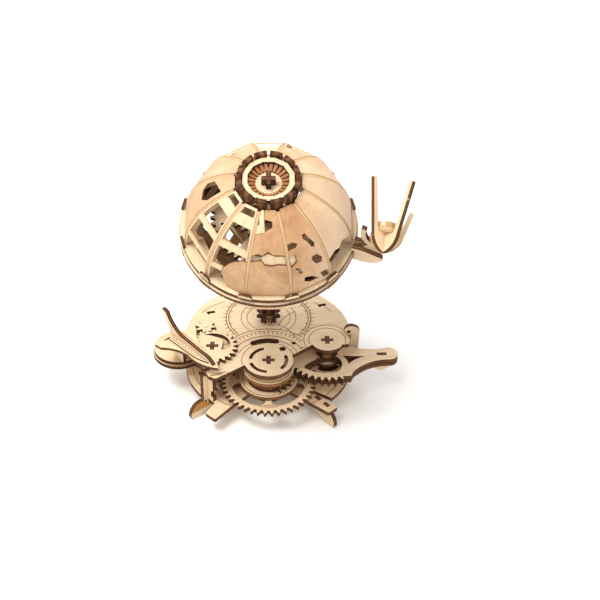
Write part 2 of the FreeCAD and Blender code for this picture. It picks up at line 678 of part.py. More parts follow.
RIB_T = 2.0
SEAM_STRETCH = 1.0 / math.cos(math.radians(15.0))
SEAM_MARGIN = RIB_T / 2 + 0.1
LATTICE_BAR = 1.5            # half the width of a cross bar
SIDE_BAR = 0.9
LATTICE_LEVELS = (-10.0, 18.5, 37.0, 56.5, 70.0)


def gore_shell():
    face = meridian_band(GORE_R, GORE_R - CARD, 4.2, TOP_LATITUDE, 1.0)
    face.rotate(vec(0, 0, 0), vec(1, 0, 0), 90)
    face.translate(vec(0, 18, 0))
    return face.extrude(vec(0, -36, 0)).common(wedge(SEAM_MARGIN, 0, 60))


def height_at(latitude):
    return GORE_R * math.sin(math.radians(latitude))


def lattice_cells(levels):
    """Openings between the bars of a lattice gore, from a list of bar latitudes."""
    cells = []
    for low, high in zip(levels[:-1], levels[1:]):
        cells.append(wedge(SEAM_MARGIN + SIDE_BAR, height_at(low) + LATTICE_BAR,
                           height_at(high) - LATTICE_BAR))
    return cells


def through(points):
    """An opening drawn in (across, up), cut straight outwards through a gore."""
    corners = [vec(12, across, up) for across, up in points]
    face = Part.Face(Part.makePolygon(corners + corners[:1]))
    return face.extrude(vec(60, 0, 0))


COAST = [(-14, 29.7), (-9.8, 31.5), (-6.8, 32.6), (-3.4, 31.9), (-0.2, 33.6), (2.8, 32.0),
         (5.8, 32.1), (14, 31.2), (14, 26.1), (5.8, 26.7), (2.1, 25.9), (-2.4, 26.6),
         (-4.2, 29.0), (-14, 28.0)]
POLE_NOTCH = [(-14, 60), (-14, 39.6), (-8.4, 40.2), (-1.8, 40.8), (2.2, 42.3), (2.2, 44.8),
              (-2.4, 45.4), (-1.6, 60)]
ISLAND_HOLES = ([(1.8, 37.4), (3.7, 37.6), (5.0, 35.0), (7.2, 32.0), (6.7, 29.8), (4.7, 30.5),
                 (3.4, 33.7), (1.3, 35.8)],
                [(3.2, 25.2), (6.5, 25.6), (9.4, 22.6), (8.8, 19.4), (5.1, 19.8), (3.0, 22.8)],
                [(-14, 36.4), (-5.4, 36.4), (-2.6, 34.7), (-4.5, 33.4), (-14, 33.7)],
                [(-14, 30.4), (-6.1, 30.5), (-6.3, 26.4), (-9.9, 24.8), (-14, 25.8)],
                [(-8.1, 23.2), (-5.6, 21.6), (-4.5, 18.4), (-6.5, 18.2), (-8.8, 21.4)],
                [(-3.9, 14.2), (1.1, 12.3), (5.4, 8.2), (-0.9, 8.6), (-4.4, 11.2)],
                [(6.6, 11.9), (14, 12.4), (14, 7.4), (8.3, 6.7)])
# The card that a shore gore keeps, and the far shore that the back gores keep.
SHORE = [(1.4, -1), (-0.3, 8.2), (-3.4, 12.9), (-3.1, 17.3), (-0.4, 21.6), (3.0, 24.8),
         (8.7, 27.6), (16, 28.4)]
FAR_SHORE = [(16, 41.0), (9.0, 38.6), (5.0, 40.8), (0.5, 36.4), (-3.4, 38.6), (-7.0, 34.8),
             (-16, 36.0)]
BAY_WINDOW = [(-5.4, 40.8), (4.0, 43.6), (5.6, 37.0), (2.4, 32.6), (-3.6, 33.6), (-6.6, 36.6)]
LANDING = [(-14, 17.4), (-10.8, 17.6), (-5.0, 17.8), (-1.1, 15.6), (4.0, 17.2), (8.8, 14.6),
           (16, 13.0), (16, -1), (-14, -1)]

# The twelve gores of the upper half, by the azimuth of their middle seen from above.
FRONT_GORE, ISLAND_GORE, LANDING_GORE, BAY_GORE = 270, 300, 330, 180
SHORE_GORES = (240,)
LATTICE_GORES = (210, 90)
BACK_GORES = (60, 120)


def gore_card(azimuth):
    """One bent card gore with the openings that belong to its place."""
    shell = gore_shell()
    if azimuth == FRONT_GORE:
        shell = cut(shell, through(COAST), through(POLE_NOTCH))
    elif azimuth == ISLAND_GORE:
        shell = cut(shell, *[through(hole) for hole in ISLAND_HOLES])
    elif azimuth == LANDING_GORE:
        shell = shell.cut(through(LANDING))
    elif azimuth == BAY_GORE:
        shell = shell.cut(through(BAY_WINDOW))
    elif azimuth in SHORE_GORES:
        shell = shell.common(through(SHORE + [(16, -1)]))
    elif azimuth in BACK_GORES:
        shell = shell.common(through(FAR_SHORE + [(-16, 60), (16, 60)]))
    return spin(shell, azimuth)


def lattice_gore(azimuth):
    """Cross bars and side bars, without the part that a card covers."""
    bars = cut(gore_shell(), *lattice_cells(LATTICE_LEVELS))
    if azimuth in SHORE_GORES:
        bars = bars.cut(through([(a - 0.3, up + 0.4) for a, up in SHORE] + [(16, -1)]))
    elif azimuth in BACK_GORES:
        bars = bars.cut(through([(a, up - 0.4) for a, up in FAR_SHORE] + [(-16, 60), (16, 60)]))
    return spin(bars, azimuth)


def notch_bars():
    """The short upright bar and the L-shaped foot beside it, in the front gore's notch."""
    frame = gore_shell().common(through([(-14, 40.4), (-2.2, 41.2), (-3.6, 60), (-14, 60)]))
    frame = frame.cut(through([(-7.4, 43.0), (-5.2, 43.2), (-5.6, 60), (-7.4, 60)]))
    return spin(frame, FRONT_GORE)


def under_card(azimuth, outline):
    """A piece of card behind an opening, against the inside of the ribs."""
    shell = gore_shell()
    shell.translate(vec(-1.3, 0, 0))
    shell = shell.common(wedge(SEAM_MARGIN + 0.2, 0, 60))
    return spin(shell.common(through(outline)), azimuth)


def upper_card_gores(names):
    return Part.makeCompound([globe_place(gore_card(azimuth)) for azimuth in names])


def upper_lattice_gores():
    gores = [lattice_gore(azimuth) for azimuth in LATTICE_GORES + SHORE_GORES + BACK_GORES]
    gores.append(notch_bars())
    gores.append(under_card(FRONT_GORE, [(-4.0, 24.6), (-4.0, 30.2), (-0.2, 31.6), (4.4, 30.2),
                                         (10, 30.4), (10, 24.6)]))
    gores.append(under_card(ISLAND_GORE, [(-10, 24.0), (-10, 31.6), (-4.6, 31.6), (-4.8, 24.0)]))
    return Part.makeCompound([globe_place(gore) for gore in gores])


def lower_gore(azimuth):
    shell = gore_shell()
    if azimuth % 90 == 60:
        shell = cut(shell, *lattice_cells(LATTICE_LEVELS))
    shell.rotate(vec(0, 0, 0), vec(1, 0, 0), 180)
    return globe_place(spin(shell, azimuth))


def rib(azimuth, upper):
    face = meridian_band(GORE_R - 0.3, GORE_R - 5.2, 4.2, TOP_LATITUDE - 0.8, SEAM_STRETCH)
    body = face.extrude(vec(0, 0, RIB_T))
    if upper:
        foot = curved_slab((47.0, 3.8), [(51.5, 3.8), (49.6, 14.0), (45.4, 14.0),
                                         ((44.6, 9.4), (42.0, 6.4)), ((42.2, 4.4), (43.6, 3.8))],
                           0, RIB_T)
        body = body.fuse(foot).removeSplitter()
    body.translate(vec(0, 0, -RIB_T / 2))
    body.rotate(vec(0, 0, 0), vec(1, 0, 0), 90 if upper else -90)
    return globe_place(spin(body, azimuth))


def ribs(upper):
    return Part.makeCompound([rib(azimuth, upper) for azimuth in SEAMS])


EQUATOR_GAP = 0.4
RING_INNER = 41.0


def equator_ring(upper):
    outer = RING_R - 1.4 if upper else RING_R
    low = EQUATOR_GAP / 2 if upper else -EQUATOR_GAP / 2 - SHEET
    body = ring((0, 0), outer, RING_INNER, low, SHEET)
    for azimuth in MIDDLES:
        body = body.cut(bar(polar((0, 0), 46.0, azimuth), 2.4, 12.0, azimuth, low - 1, SHEET + 2))
    return globe_place(body)


def equator_spacers():
    """Thin washers that keep the two rings apart."""
    parts = [disc(polar((0, 0), 44.0, a), 2.0, -EQUATOR_GAP / 2, EQUATOR_GAP) for a in SEAMS]
    return Part.makeCompound([globe_place(part) for part in parts])


ARM_SEAM = 345.0            # the satellite's arm grips the rings here in place of clips


def equator_clips(upper):
    """Round-cornered clips at each rib, above or below the rings."""
    parts = []
    outer = RING_R - (1.4 if upper else 0.0) - 0.1
    inner = GORE_R * SEAM_STRETCH + 0.2
    for azimuth in SEAMS:
        if azimuth == ARM_SEAM:
            continue
        width = 4.2
        low = EQUATOR_GAP / 2 + SHEET
        body = box(inner, -width, low, max(outer, inner + 1.6), width, low + 2.6)
        edges = [e for e in body.Edges if abs(e.Vertexes[0].Point.y) > width - 0.01
                 and abs(e.Vertexes[0].Point.z - e.Vertexes[-1].Point.z) < 0.01
                 and abs(e.Vertexes[0].Point.y - e.Vertexes[-1].Point.y) < 0.01
                 and e.Vertexes[0].Point.z > low + 2.0]
        body = body.makeFillet(1.6, edges)
        if not upper:
            body.rotate(vec(0, 0, 0), vec(1, 0, 0), 180)
        parts.append(globe_place(spin(body, azimuth)))
    return Part.makeCompound(parts)


CAP_PLATE_Z = 43.4
CAP_PLATE_R = 18.4
CAP_TOP = 53.1


def cap_plate(upper):
    body = disc((0, 0), CAP_PLATE_R, CAP_PLATE_Z, SHEET)
    for azimuth in MIDDLES:
        body = body.cut(bar(polar((0, 0), 12.0, azimuth), 3.0, 2.2, azimuth, 40, 10))
    body = body.cut(cross((0, 0), 40, 10, SNUG))
    if not upper:
        body.rotate(vec(0, 0, 0), vec(1, 0, 0), 180)
    return globe_place(body)


def cap_arcs(upper):
    """Twelve upright arc blocks around the pole, centred on the ribs."""
    low = CAP_PLATE_Z + SHEET
    height = CAP_TOP - low if upper else 3.0
    parts = []
    for azimuth in SEAMS:
        body = ring((0, 0), 18.8, 16.0, low, height)
        body = body.common(spin(wedge(0.9, low, low + height), azimuth))
        if not upper:
            body.rotate(vec(0, 0, 0), vec(1, 0, 0), 180)
        parts.append(globe_place(body))
    return Part.makeCompound(parts)


def polygon_ring(sides, outer, inner, phase, z_low, height):
    solids = []
    for radius in (outer, inner):
        corners = [polar((0, 0), radius, phase + 360.0 * k / sides) for k in range(sides)]
        solids.append(slab(corners, z_low, height))
    return solids[0].cut(solids[1])


def cap_ring():
    low = CAP_PLATE_Z + SHEET + 2.4
    return globe_place(polygon_ring(12, 15.8, 12.7, 15.0, low, 2.0))


def cap_slats():
    """Twenty-four radial slats between the axle and the cap ring."""
    low = CAP_PLATE_Z + SHEET
    parts = []
    for k in range(24):
        body = slab([(8.0, -0.75), (15.2, -1.3), (15.2, 1.3), (8.0, 0.75)], low, 2.4)
        slope = slab([(7.0, 0.9), (12.4, 2.4), (7.0, 2.4)], -3, 6)
        slope.rotate(vec(0, 0, 0), vec(1, 0, 0), 90)
        parts.append(globe_place(spin(body.cut(lift(slope, low)), 15.0 * k + 7.5)))
    return Part.makeCompound(parts)


def inner_gear(z_low, teeth, hub_r, spokes):
    """A toothed wheel inside the globe, threaded on the axle."""
    blank = gear((0, 0), teeth, 0, z_low, SHEET)
    rim = MODULE * teeth / 2 - 5.0
    for k in range(spokes):
        start = 360.0 * k / spokes
        blank = blank.cut(window((0, 0), hub_r, rim, start + 9, start + 360.0 / spokes - 9,
                                 z_low - 1, SHEET + 2))
    return globe_place(blank.cut(cross((0, 0), z_low - 1, SHEET + 2, SNUG)))


def globe_axle():
    """The long crossed axle: it runs from the lower bearing to the north pole."""
    low = (17.6 - DIAL_TOP) / LEAN
    return globe_frame(crossed_axle((0, 0), low, CENTRE_UP + CAP_TOP - 1.5))


def globe_gear():
    blank = gear((0, 0), GLOBE_TEETH, GLOBE_PHASE, GLOBE_GEAR_UP - SHEET / 2, SHEET, 0.22)
    for start in (0, 90, 180, 270):
        blank = blank.cut(arc_slot((0, 0), 13.6, 5.0, start + 18, start + 72,
                                   GLOBE_GEAR_UP - 5, 10))
    return globe_frame(blank.cut(cross((0, 0), GLOBE_GEAR_UP - 5, 10, SNUG)))


COLLAR_UP = 6.2


def foot_pinion():
    blank = gear((0, 0), COLLAR_TEETH, FRONT, COLLAR_UP - SHEET / 2, SHEET)
    return globe_frame(blank.cut(cross((0, 0), COLLAR_UP - 5, 10, SNUG)))


def axle_collars():
    """Discs that hold the globe at its height: above the bearing, foot and south pole."""
    spans = [(5.6, COLLAR_UP + SHEET / 2, COLLAR_UP + SHEET / 2 + SHEET),
             (8.5, CENTRE_UP - CAP_PLATE_Z - 2 * SHEET, CENTRE_UP - CAP_PLATE_Z - SHEET)]
    parts = [disc((0, 0), r, low, high - low).cut(cross((0, 0), low - 1, 8, SNUG))
             for r, low, high in spans]
    return Part.makeCompound([globe_frame(part) for part in parts])


# ---- satellite and its holder -----------------------------------------------------------------
SAT_AZIMUTH = -16.5
SAT_OUT = 73.0
SAT_UP = 21.0
SAT_R = 10.6                # half width of the satellite's crossed plates
SAT_DEPTH = 10.4            # how far their point reaches below the arms' roots
SAT_SHEET = 2.6
SAT_LEAN = 10.0             # tilt of the satellite towards the right
SAT_BACK = 50.0             # and away from the front
ARM_W = 2.6
# Crossed plates: turn about the satellite's axis, arm length on each side, spread.
WISHBONES = ((38.0, (9.0, 33.0), 12.0), (-52.0, (33.0, 9.0), 12.0))
MAST = (-4.0, 16.5, 14.0)   # the single plate between them: azimuth, arm length, spread
SKIN_R = 9.6
CRADLE_R = 12.0


def holder_frame(shape):
    return globe_place(spin(shape, SAT_AZIMUTH))


def satellite_arm():
    """Two cheeks that grip the equator rings and reach outwards."""
    cheeks = []
    grip = EQUATOR_GAP / 2 + SHEET + SNUG
    for side in (-1, 1):
        body = curved_slab((54.3, 6.2), [(54.3, -6.2), (60.0, -6.2), ((68.0, -5.0), (73.0, -1.4)),
                                         ((73.6, 1.6), (71.0, 3.2)), (60.0, 6.2)], 0, SHEET)
        body = body.cut(box(40.0, -grip, -1, RING_R + 0.1, grip, SHEET + 1))
        body.translate(vec(0, 0, -SHEET / 2))
        body.rotate(vec(0, 0, 0), vec(1, 0, 0), 90)
        body.translate(vec(0, side * (SHEET + SNUG), 0))
        cheeks.append(holder_frame(body))
    return Part.makeCompound(cheeks)


def satellite_cradle():
    """The open hook between the cheeks, in which the satellite sits."""
    outer = CRADLE_R + 3.2
    centre = (SAT_OUT, SAT_UP)
    arc = curved_slab(polar(centre, outer, -196),
                      [(polar(centre, outer, -145), polar(centre, outer, -92)),
                       (polar(centre, CRADLE_R + 1.6, -84), polar(centre, CRADLE_R, -92)),
                       (polar(centre, CRADLE_R, -145), polar(centre, CRADLE_R, -196))],
                      0, SHEET - 2 * SNUG)
    tail = curved_slab((57.5, 3.6), [(57.5, -3.6), ((66.0, -3.2), (71.5, -0.6)),
                                     (72.5, 7.4), (64.5, 10.4)], 0, SHEET - 2 * SNUG)
    body = arc.fuse(tail).removeSplitter()
    body.translate(vec(0, 0, -SHEET / 2 + SNUG))
    body.rotate(vec(0, 0, 0), vec(1, 0, 0), 90)
    return holder_frame(body)


def satellite_place(shape):
    shape.rotate(vec(0, 0, 0), vec(0, 1, 0), SAT_LEAN)
    shape.rotate(vec(0, 0, 0), vec(1, 0, 0), -TILT - SAT_BACK)
    shape.translate(vec(SAT_OUT * math.cos(math.radians(SAT_AZIMUTH)),
                        SAT_OUT * math.sin(math.radians(SAT_AZIMUTH)), SAT_UP))
    return globe_place(shape)


def arm_steps(side, length, spread):
    """One arm of an upright plate, from its root's outside over the tip to its waist."""
    lean = math.radians(spread)
    tip = (side * (SAT_R + length * math.sin(lean)), length * math.cos(lean))
    inner = (tip[0] - side * ARM_W * math.cos(lean), tip[1] + ARM_W * math.sin(lean))
    return [tip, inner, (side * (SAT_R - ARM_W - 0.4), 1.6)]


def wishbone(lengths, spread):
    """An upright plate: a pointed body below, two long arms above, drawn in (across, up)."""
    left = arm_steps(-1, lengths[1], spread)
    bulge = (0.73 * SAT_R, -0.6 * SAT_DEPTH)
    steps = [(bulge, (SAT_R, 0.0))] + arm_steps(1, lengths[0], spread) + left[::-1]
    steps += [(-SAT_R, 0.0), ((-bulge[0], bulge[1]), (0.0, -SAT_DEPTH))]
    return curved_slab((0.0, -SAT_DEPTH), steps, -SAT_SHEET / 2, SAT_SHEET)


def mast():
    """A single upright plate with one arm."""
    _, length, spread = MAST
    steps = [((8.2, -5.2), (SAT_R, 0.0))] + arm_steps(1, length, spread) + [(4.0, 1.6)]
    return curved_slab((4.0, -8.0), steps, -SAT_SHEET / 2, SAT_SHEET)


def satellite_plates():
    """Two crossed plates, halved where they meet, and the single plate between them."""
    thin = SAT_SHEET / 2 + SNUG
    middle = -0.45 * SAT_DEPTH
    halves = (box(-thin, -5, -20, thin, 5, middle), box(-thin, -5, middle, thin, 5, 20))
    parts = []
    for (turn, lengths, spread), notch in zip(WISHBONES, halves):
        body = wishbone(lengths, spread)
        body.rotate(vec(0, 0, 0), vec(1, 0, 0), 90)
        parts.append(satellite_place(spin(body.cut(notch), turn)))
    single = mast()
    single.rotate(vec(0, 0, 0), vec(1, 0, 0), 90)
    parts.append(satellite_place(spin(single, MAST[0])))
    return Part.makeCompound(parts)


def satellite_skin():
    """A level disc with a drum on it, and the bent skin of three quarters below."""
    level = disc((0, 0), SAT_R - ARM_W - 0.6, 1.65, SAT_SHEET)
    drum = ring((0, 0), 6.4, 5.4, 1.65 + SAT_SHEET, 3.4)
    shell = Part.makeSphere(SKIN_R).cut(Part.makeSphere(SKIN_R - CARD))
    shell = shell.common(Part.makeCylinder(20, 20, vec(0, 0, -20), vec(0, 0, 1)))
    front = slab([(0, 0), polar((0, 0), 30.0, WISHBONES[0][0] - 180.0),
                  polar((0, 0), 30.0, WISHBONES[1][0])], -20, 20)
    shell = shell.cut(front)
    for turn in (WISHBONES[0][0], WISHBONES[1][0]):
        shell = shell.cut(bar((0, 0), 60.0, SAT_SHEET + 2 * SNUG, turn, -20, 20))
    shell = shell.cut(bar(polar((0, 0), 20.0, MAST[0]), 38.0, SAT_SHEET + 2 * SNUG, MAST[0],
                          -20, 20))
    return Part.makeCompound([satellite_place(part) for part in [level, drum] + shell.Solids])


# ---- all the pieces, by node ------------------------------------------------------------------
def build():
    pieces = {name: leg(*LEGS[name]) for name in LEGS}
    pieces.update({name: post(name) for name in POSTS})
    pieces.update({
        "lower_plate": cut(lower_plate(), *bearing_mortises(LOWER_Z)),
        "dial_plate": dial_plate(),
        "post_front_left_brace": cross_post(),
        "globe_bearings": Part.makeCompound([bearing_plate(UPPER_BEARING),
                                             bearing_plate(LOWER_BEARING)]),
        "bearing_cheeks": Part.makeCompound([upper_cheeks(), lower_cheeks()]),
        "idler_seat": idler_seat(),
        "drive_gear": drive_gear(),
        "drive_disc": hub_disc(20.0, DRIVE_Z + SHEET),
        "hub_pinion": sector_pinion(),
        "hub_cap_disc": hub_disc(17.5, CAP_Z),
        "hub_axle": crossed_axle(HUB, LOWER_Z, DIAL_TOP),
        "hub_rings": Part.makeCompound([bush(HUB, LOWER_Z), bush(HUB, DIAL_Z), hub_spacers()]),
        "lever_lower": lever_layer(LEVER_Z, 3.0),
        "lever_upper": lever_layer(LEVER_Z + SHEET, 0.0),
        "lever_peg": lever_peg(),
        "lever_axle": crossed_axle(BOSS, LOWER_Z, DIAL_TOP),
        "lever_rings": Part.makeCompound([bush(BOSS, LOWER_Z), bush(BOSS, DIAL_Z), boss_spacers()]),
        "idler_gear": idler_gear(),
        "left_gear": left_gear(),
        "left_pinion": left_pinion(),
        "left_axle": crossed_axle(LEFT, LOWER_Z, TOP_GEAR_Z + SHEET),
        "left_rings": Part.makeCompound([bush(LEFT, LOWER_Z), left_spacer()]),
        "small_pinion": small_pinion(),
        "small_pin": small_pin(),
        "paddle": Part.makeCompound([paddle_layer(PADDLE_Z, 0.0),
                                     paddle_layer(PADDLE_Z + SHEET, 0.8)]),
        "shuttle_post": shuttle_post(),
        "shuttle_wing": Part.makeCompound([shuttle_wing(), shuttle_deck()]),
        "shuttle_spine": shuttle_fuselage(),
        "globe_axle": globe_axle(),
        "globe_gear": globe_gear(),
        "globe_foot_pinion": foot_pinion(),
        "globe_collars": axle_collars(),
        "south_cap": Part.makeCompound([cap_plate(False), cap_arcs(False)]),
        "south_ribs": ribs(False),
        "south_gores": Part.makeCompound([lower_gore(a) for a in MIDDLES]),
        "equator_ring_lower": equator_ring(False),
        "equator_ring_upper": equator_ring(True),
        "equator_washers": equator_spacers(),
        "equator_clips": Part.makeCompound([equator_clips(True), equator_clips(False)]),
        "north_ribs": ribs(True),
        "north_gores_front": upper_card_gores((FRONT_GORE, ISLAND_GORE) + SHORE_GORES),
        "north_gores_back": upper_card_gores((330, 0, 30, 150, BAY_GORE) + BACK_GORES),
        "north_lattice": upper_lattice_gores(),
        "north_cap_plate": cap_plate(True),
        "north_cap_arcs": cap_arcs(True),
        "north_cap_ring": cap_ring(),
        "north_cap_slats": cap_slats(),
        "inner_gears": Part.makeCompound([inner_gear(8.0, 46, 12.0, 6),
                                          inner_gear(26.0, 34, 9.0, 3)]),
        "satellite_arm": satellite_arm(),
        "satellite_cradle": satellite_cradle(),
        "satellite_plates": satellite_plates(),
        "satellite_skin": satellite_skin(),
    })
    return pieces


def whole_box(pieces):
    bounds = FreeCAD.BoundBox()
    for shape in pieces.values():
        bounds.add(shape.optimalBoundingBox(False))
    return bounds


pieces = build()
bounds = whole_box(pieces)
SHIFT = vec(-bounds.Center.x, -bounds.Center.y, -bounds.ZMin)
for name, shape in sorted(pieces.items()):
    shape.translate(SHIFT)
    shape.exportStep("parts/" + name + ".step")
    solids = shape.Solids
    state = "" if shape.isValid() and solids else "  NOT VALID"
    print(name, len(solids), "solids", round(sum(s.Volume for s in solids), 1), "mm3" + state)
print("nodes", len(pieces), "shift", SHIFT, "size", bounds.XLength, bounds.YLength, bounds.ZLength)
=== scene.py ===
"""Looks of the plywood orrery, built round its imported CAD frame. Units are metres."""
import json
import math

import bpy
import numpy as np
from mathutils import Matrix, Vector
from mathutils.bvhtree import BVHTree

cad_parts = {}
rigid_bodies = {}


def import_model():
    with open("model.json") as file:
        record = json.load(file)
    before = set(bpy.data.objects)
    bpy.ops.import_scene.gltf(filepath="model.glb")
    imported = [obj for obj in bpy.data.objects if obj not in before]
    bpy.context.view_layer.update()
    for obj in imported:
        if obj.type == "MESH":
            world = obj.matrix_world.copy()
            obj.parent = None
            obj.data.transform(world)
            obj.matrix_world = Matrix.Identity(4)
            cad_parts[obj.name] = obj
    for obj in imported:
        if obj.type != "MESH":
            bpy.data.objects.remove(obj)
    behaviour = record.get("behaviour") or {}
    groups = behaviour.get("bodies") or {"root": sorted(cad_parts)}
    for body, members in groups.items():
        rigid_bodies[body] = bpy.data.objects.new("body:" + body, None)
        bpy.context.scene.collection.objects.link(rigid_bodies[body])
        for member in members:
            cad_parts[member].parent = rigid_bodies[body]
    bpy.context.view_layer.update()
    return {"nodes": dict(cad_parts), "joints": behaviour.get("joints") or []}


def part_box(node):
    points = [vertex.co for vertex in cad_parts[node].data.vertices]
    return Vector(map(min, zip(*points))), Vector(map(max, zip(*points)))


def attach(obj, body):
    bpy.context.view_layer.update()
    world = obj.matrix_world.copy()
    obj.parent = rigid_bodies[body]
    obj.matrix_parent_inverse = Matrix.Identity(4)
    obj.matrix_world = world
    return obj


MM = 0.001
GOLDEN = 0.618034            # spreads the grain's offsets over the solids of a node

for old in list(bpy.data.objects):
    bpy.data.objects.remove(old)
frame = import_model()
NODES = frame["nodes"]
JOINTS = {joint["name"]: joint for joint in frame["joints"]}


def joint_at(name):
    return Vector(JOINTS[name]["pos_m"])


# ---- places that the frame gives --------------------------------------------------------------
HUB = joint_at("hub_spin")
BOSS = joint_at("lever_swing")
FOOT = joint_at("globe_spin")
AXIS = Vector(JOINTS["globe_spin"]["axis"]).normalized()
DISC = Vector((HUB.x, HUB.y + 29.0 * MM, 0.0))
CENTRE = FOOT + AXIS * 119.8 * MM
LOWER_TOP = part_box("lower_plate")[0].z + 3.0 * MM


# ---- camera, light and floor ------------------------------------------------------------------
def make_camera():
    camera = bpy.data.cameras.new("camera")
    camera.sensor_width = 36.0
    camera.lens = 65.85
    camera.shift_x = 0.0525
    camera.shift_y = 0.01
    camera.clip_start = 0.01
    seat = bpy.data.objects.new("camera", camera)
    bpy.context.scene.collection.objects.link(seat)
    seat.location = DISC + Vector((0.0, -0.6013, 0.5290))
    seat.rotation_euler = (math.radians(52.3), 0.0, 0.0)
    bpy.context.scene.camera = seat


def area_light(name, place, target, size, power, colour=(1.0, 1.0, 1.0)):
    lamp = bpy.data.lights.new(name, "AREA")
    lamp.shape = "DISK"
    lamp.size = size
    lamp.energy = power
    lamp.color = colour
    seat = bpy.data.objects.new(name, lamp)
    bpy.context.scene.collection.objects.link(seat)
    seat.location = place
    seat.rotation_euler = (Vector(target) - Vector(place)).to_track_quat("-Z", "Y").to_euler()


def make_studio():
    scene = bpy.context.scene
    scene.view_settings.view_transform = "Standard"
    world = bpy.data.worlds.new("studio")
    scene.world = world
    world.use_nodes = True
    sky = world.node_tree.nodes["Background"]
    sky.inputs["Color"].default_value = (1.0, 0.99, 0.98, 1.0)
    sky.inputs["Strength"].default_value = 0.60
    middle = DISC + Vector((0.0, 0.0, 0.09))
    area_light("key", middle + Vector((-0.35, -0.25, 0.95)), middle, 0.55, 11.5, (1.0, 0.985, 0.96))
    area_light("fill", middle + Vector((0.8, -0.7, 0.5)), middle, 0.7, 3.0, (1.0, 0.98, 0.96))
    area_light("rear", middle + Vector((0.1, 0.9, 0.7)), middle, 0.7, 4.5)

    mesh = bpy.data.meshes.new("floor")
    mesh.from_pydata([(-3, -3, 0), (3, -3, 0), (3, 3, 0), (-3, 3, 0)], [], [(0, 1, 2, 3)])
    floor = bpy.data.objects.new("floor", mesh)
    scene.collection.objects.link(floor)
    paper = bpy.data.materials.new("floor_paper")
    paper.use_nodes = True
    shader = paper.node_tree.nodes["Principled BSDF"]
    shader.inputs["Base Color"].default_value = (0.93, 0.93, 0.93, 1.0)
    shader.inputs["Roughness"].default_value = 0.9
    shader.inputs["Specular IOR Level"].default_value = 0.1
    mesh.materials.append(paper)


# ---- node helpers -----------------------------------------------------------------------------
class Tree:
    """Short names for the nodes that every wood material is made of."""

    def __init__(self, name):
        self.material = bpy.data.materials.new(name)
        self.material.use_nodes = True
        self.tree = self.material.node_tree
        self.shader = self.tree.nodes["Principled BSDF"]

    def node(self, kind, **values):
        made = self.tree.nodes.new(kind)
        for key, value in values.items():
            setattr(made, key, value)
        return made

    def feed(self, socket, value):
        if isinstance(value, bpy.types.NodeSocket):
            self.tree.links.new(value, socket)
        else:
            socket.default_value = value

    def math(self, operation, a, b=0.0, c=0.0):
        made = self.node("ShaderNodeMath", operation=operation)
        for socket, value in zip(made.inputs, (a, b, c)):
            self.feed(socket, value)
        return made.outputs[0]

    def scaled(self, vector, scale):
        made = self.node("ShaderNodeVectorMath", operation="MULTIPLY")
        self.feed(made.inputs[0], vector)
        self.feed(made.inputs[1], scale)
        return made.outputs[0]

    def noise(self, vector, scale, detail=3.0, rough=0.5, distort=0.0):
        made = self.node("ShaderNodeTexNoise")
        self.feed(made.inputs["Vector"], vector)
        made.inputs["Scale"].default_value = scale
        made.inputs["Detail"].default_value = detail
        made.inputs["Roughness"].default_value = rough
        made.inputs["Distortion"].default_value = distort
        return made.outputs["Fac"]

    def span(self, value, low, high, to_low=0.0, to_high=1.0):
        made = self.node("ShaderNodeMapRange")
        made.clamp = True
        for socket, given in zip(made.inputs, (value, low, high, to_low, to_high)):
            self.feed(socket, given)
        return made.outputs[0]

    def mix(self, factor, a, b, blend="MIX"):
        made = self.node("ShaderNodeMix", data_type="RGBA", blend_type=blend)
        self.feed(made.inputs["Factor"], factor)
        self.feed(made.inputs[6], a)
        self.feed(made.inputs[7], b)
        return made.outputs[2]

    def attribute(self, name):
        return self.node("ShaderNodeAttribute", attribute_type="GEOMETRY", attribute_name=name)

    def bump(self, height, strength, distance):
        made = self.node("ShaderNodeBump")
        made.inputs["Strength"].default_value = strength
        made.inputs["Distance"].default_value = distance
        self.feed(made.inputs["Height"], height)
        self.feed(self.shader.inputs["Normal"], made.outputs["Normal"])

    def finish(self, colour, roughness, specular=0.3):
        self.feed(self.shader.inputs["Base Color"], colour)
        self.feed(self.shader.inputs["Roughness"], roughness)
        self.shader.inputs["Specular IOR Level"].default_value = specular
        return self.material


def rgb(red, green, blue):
    """A colour from 0 to 255 steps, as linear light."""
    steps = [part / 255.0 for part in (red, green, blue)]
    return tuple(((s + 0.055) / 1.055) ** 2.4 if s > 0.04 else s / 12.92 for s in steps) + (1.0,)


# ---- materials --------------------------------------------------------------------------------
def face_wood(name, pale, warm, brown):
    """The face of a birch sheet: long fine grain, soft bands and a few short flecks."""
    t = Tree(name)
    sheet = t.attribute("sheet").outputs["Vector"]
    tone = t.attribute("tone").outputs["Fac"]
    fibres = t.noise(t.scaled(sheet, (45.0, 1500.0, 1.0)), 1.0, 4.0, 0.6, 0.2)
    bands = t.noise(t.scaled(sheet, (9.0, 130.0, 1.0)), 1.0, 3.0, 0.55, 0.6)
    cloud = t.noise(sheet, 38.0, 2.0)
    flecks = t.noise(t.scaled(sheet, (160.0, 1900.0, 1.0)), 1.0, 1.0)
    colour = t.mix(t.span(bands, 0.36, 0.66, 0.0, 0.75), pale, warm)
    colour = t.mix(t.span(cloud, 0.4, 0.7, 0.0, 0.35), colour, warm)
    colour = t.mix(t.span(tone, 0.0, 1.0, 0.0, 0.3), colour, warm)
    colour = t.mix(t.span(fibres, 0.48, 0.72, 0.0, 0.34), colour, brown)
    colour = t.mix(t.span(flecks, 0.66, 0.74, 0.0, 0.30), colour, brown)
    t.bump(fibres, 0.12, 0.0002)
    return t.finish(colour, t.span(fibres, 0.3, 0.7, 0.5, 0.64), 0.28)


